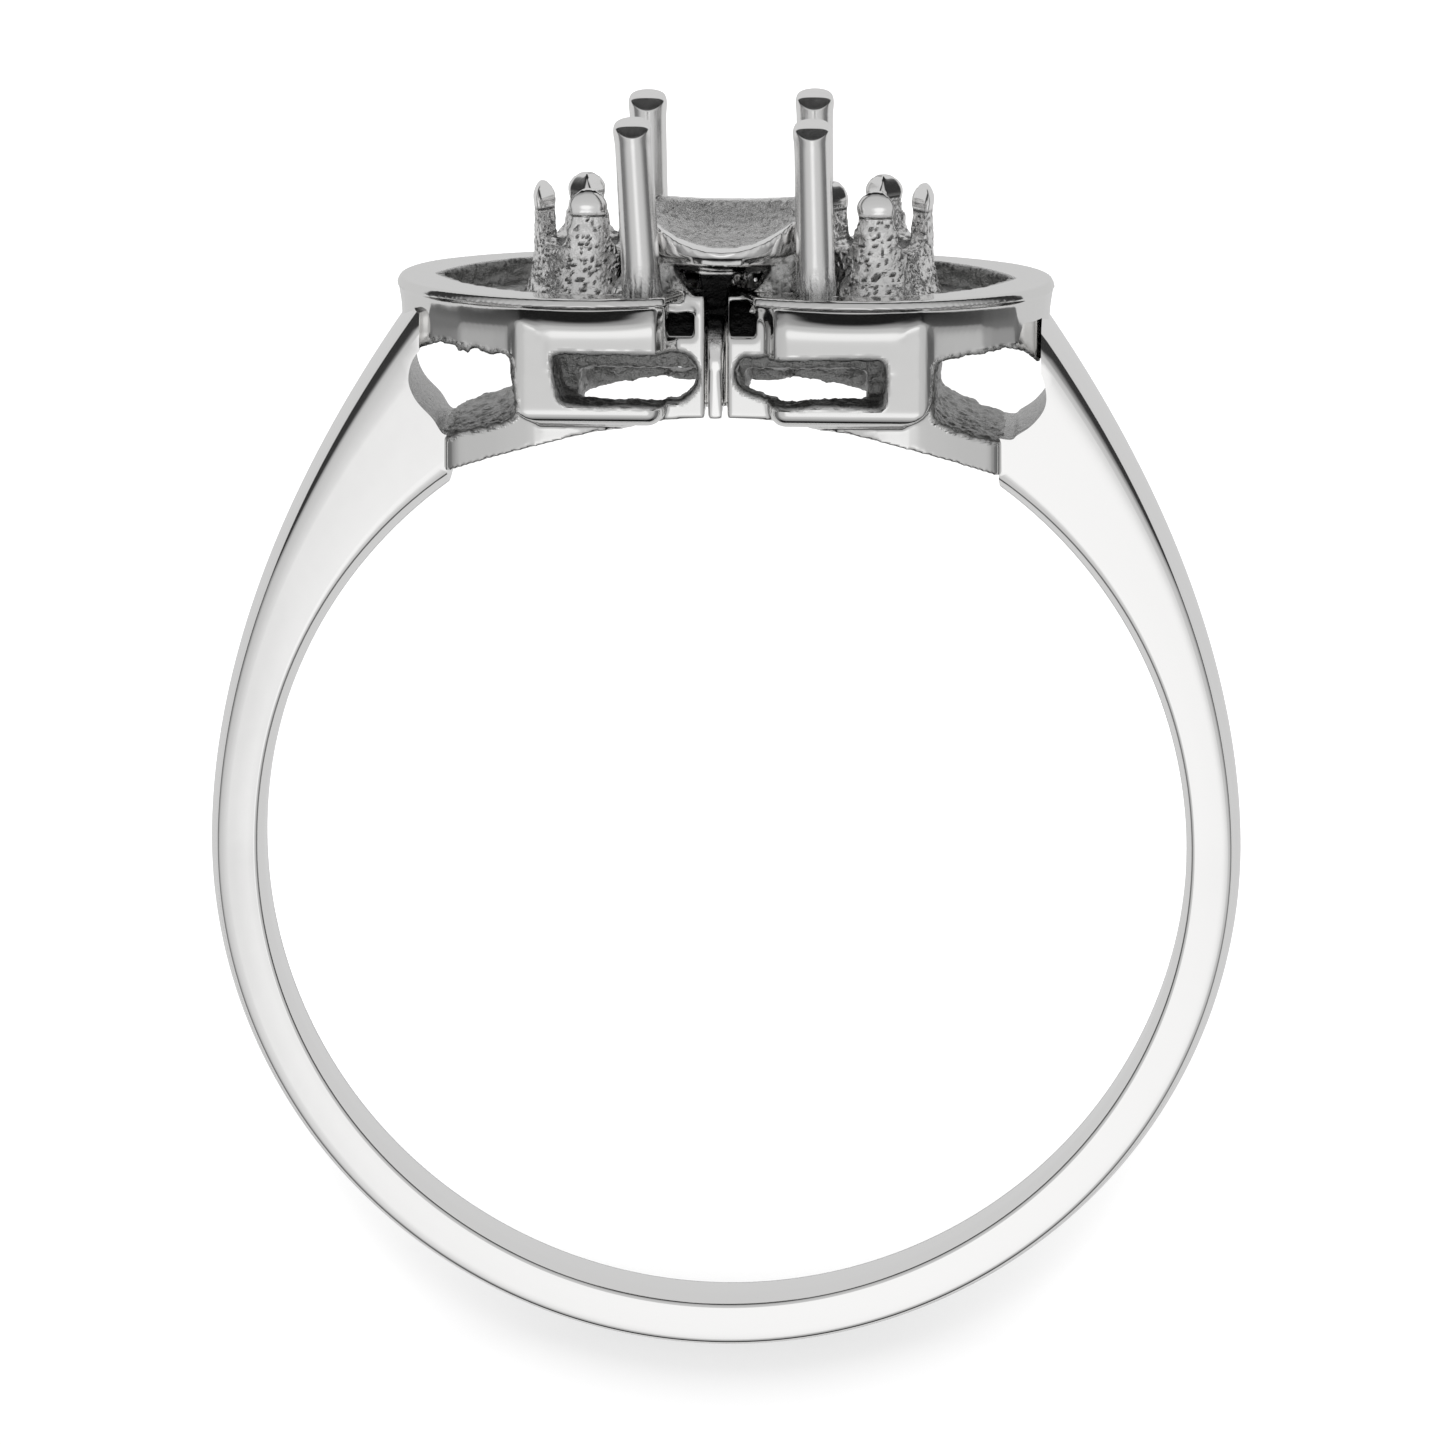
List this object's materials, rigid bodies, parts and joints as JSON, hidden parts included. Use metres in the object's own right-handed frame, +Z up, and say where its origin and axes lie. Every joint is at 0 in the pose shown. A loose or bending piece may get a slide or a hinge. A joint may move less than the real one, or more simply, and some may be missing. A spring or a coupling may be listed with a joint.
{
  "type": "semi mount ring setting",
  "caption": "Ring mounting without its stones: a slim round shank, flared shoulders and a pierced head with a pronged centre setting between smaller side settings.",
  "frame": {"origin": "Middle of the bottom of the bounding box, on the surface that the ring lies on.", "axes": "+Y runs across the ring from the bottom of the shank to the stone settings, +Z is up and nearly along the finger, +X runs from one side stone to the other. The ring lies on its side, on the edge of the shank and the back of the head's rim, turned 4.8 degrees about X."},
  "size_m": [0.0194, 0.0238, 0.005],
  "materials": {
    "white_gold": "mirror polished, rough as cast inside the head"
  },
  "bodies": {
    "root": {"ring_mounting": "white_gold"}
  },
  "joints": []
}
